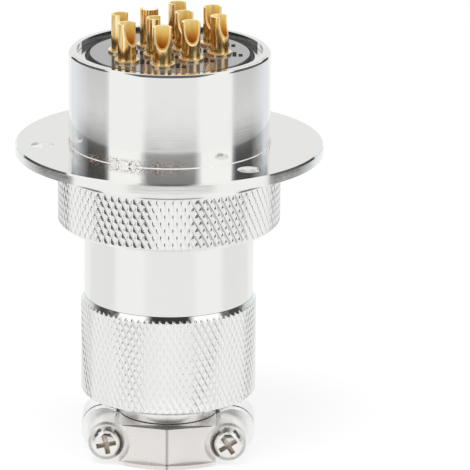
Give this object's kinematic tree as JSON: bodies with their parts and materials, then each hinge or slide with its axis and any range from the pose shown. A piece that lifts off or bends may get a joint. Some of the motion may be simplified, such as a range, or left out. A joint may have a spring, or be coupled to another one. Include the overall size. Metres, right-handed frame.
{
  "type": "aviation plug connector",
  "caption": "Round multi-pole connector pair, mated: flanged panel receptacle with solder cups, threaded coupling nut, knurled backshell and screwed cable clamp.",
  "frame": {"origin": "centre of the panel hole circle, on the upper face of the receptacle's flange", "axes": "+Z along the connector's axis, from the cable clamp towards the receptacle's solder cups; -Y faces the heads of the clamp screws"},
  "size_m": [0.046, 0.046, 0.0678],
  "materials": {
    "plated_metal": "polished",
    "clamp_metal": "satin",
    "screw_metal": "polished",
    "contact_gold": "polished",
    "dark_insulator": "gloss",
    "black_rubber": "matte"
  },
  "bodies": {
    "receptacle": {"receptacle_shell": "plated_metal", "receptacle_insulator": "dark_insulator", "receptacle_locking_ring": "plated_metal", "receptacle_gland_ring": "black_rubber", "contact_pin_01": "contact_gold", "contact_pin_02": "contact_gold", "contact_pin_03": "contact_gold", "contact_pin_04": "contact_gold", "contact_pin_05": "contact_gold", "contact_pin_06": "contact_gold", "contact_pin_07": "contact_gold", "contact_pin_08": "contact_gold", "contact_pin_09": "contact_gold", "contact_pin_10": "contact_gold"},
    "plug": {"plug_barrel": "plated_metal", "plug_insulator": "dark_insulator", "plug_locking_ring": "plated_metal", "mating_seal": "black_rubber", "contact_socket_01": "contact_gold", "contact_socket_02": "contact_gold", "contact_socket_03": "contact_gold", "contact_socket_04": "contact_gold", "contact_socket_05": "contact_gold", "contact_socket_06": "contact_gold", "contact_socket_07": "contact_gold", "contact_socket_08": "contact_gold", "contact_socket_09": "contact_gold", "contact_socket_10": "contact_gold"},
    "coupling_nut": {"coupling_nut": "plated_metal"},
    "clamp": {"clamp_half_rear": "clamp_metal"},
    "backshell": {"backshell": "plated_metal"},
    "clamp_saddle": {"clamp_half_front": "clamp_metal"},
    "screw_left": {"clamp_screw_left": "screw_metal"},
    "screw_right": {"clamp_screw_right": "screw_metal"}
  },
  "joints": [
    {"name": "plug_withdraw", "type": "slide", "parent": "receptacle", "child": "plug", "axis": [0, 0, -1], "range_m": [0, 0.015]},
    {"name": "nut_spin", "type": "hinge", "parent": "plug", "child": "coupling_nut", "pos_m": [0, 0, -0.007], "axis": [0, 0, -1], "range_deg": [0, 3600]},
    {"name": "clamp_withdraw", "type": "slide", "parent": "plug", "child": "clamp", "axis": [0, 0, -1], "range_m": [0, 0.009]},
    {"name": "backshell_spin", "type": "hinge", "parent": "clamp", "child": "backshell", "pos_m": [0, 0, -0.031], "axis": [0, 0, -1], "range_deg": [0, 3240]},
    {"name": "saddle_slide", "type": "slide", "parent": "clamp", "child": "clamp_saddle", "axis": [0, -1, 0], "range_m": [0, 0.002]},
    {"name": "screw_left_spin", "type": "hinge", "parent": "clamp_saddle", "child": "screw_left", "pos_m": [-0.00915, -0.0065, -0.0451], "axis": [0, -1, 0], "range_deg": [0, 1440]},
    {"name": "screw_right_spin", "type": "hinge", "parent": "clamp_saddle", "child": "screw_right", "pos_m": [0.00915, -0.0065, -0.0451], "axis": [0, -1, 0], "range_deg": [0, 1440]}
  ],
  "couplings": [
    {"joint": "nut_spin", "follows": "plug_withdraw", "rad_per_m": 4188.7},
    {"joint": "backshell_spin", "follows": "clamp_withdraw", "rad_per_m": 6283.1},
    {"joint": "screw_left_spin", "follows": "saddle_slide", "rad_per_m": 12566},
    {"joint": "screw_right_spin", "follows": "saddle_slide", "rad_per_m": 12566}
  ]
}
